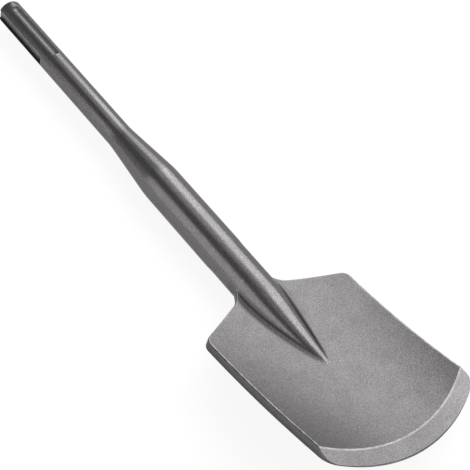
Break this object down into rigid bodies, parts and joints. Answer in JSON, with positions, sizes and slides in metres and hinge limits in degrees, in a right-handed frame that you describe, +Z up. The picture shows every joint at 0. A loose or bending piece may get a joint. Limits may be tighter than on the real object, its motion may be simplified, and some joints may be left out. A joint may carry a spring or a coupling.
{
  "type": "clay spade chisel",
  "caption": "Clay spade chisel for a rotary hammer: a grooved round shank flares into a thicker shaft that fairs into a wide, hollow, upswept blade with a bevelled cutting edge.",
  "frame": {"origin": "on the shank's axis, 90 mm from its driven end, which is how deep the chuck takes it", "axes": "+X along the shank toward the cutting edge, +Z up with the tool lying at rest on its shaft and one rear corner of the blade, hollow side up"},
  "size_m": [0.4471, 0.118, 0.0546],
  "materials": {
    "steel": "shot-blasted forged tool steel, with a brighter ground bevel"
  },
  "bodies": {
    "root": {"clay_spade": "steel"}
  },
  "joints": []
}
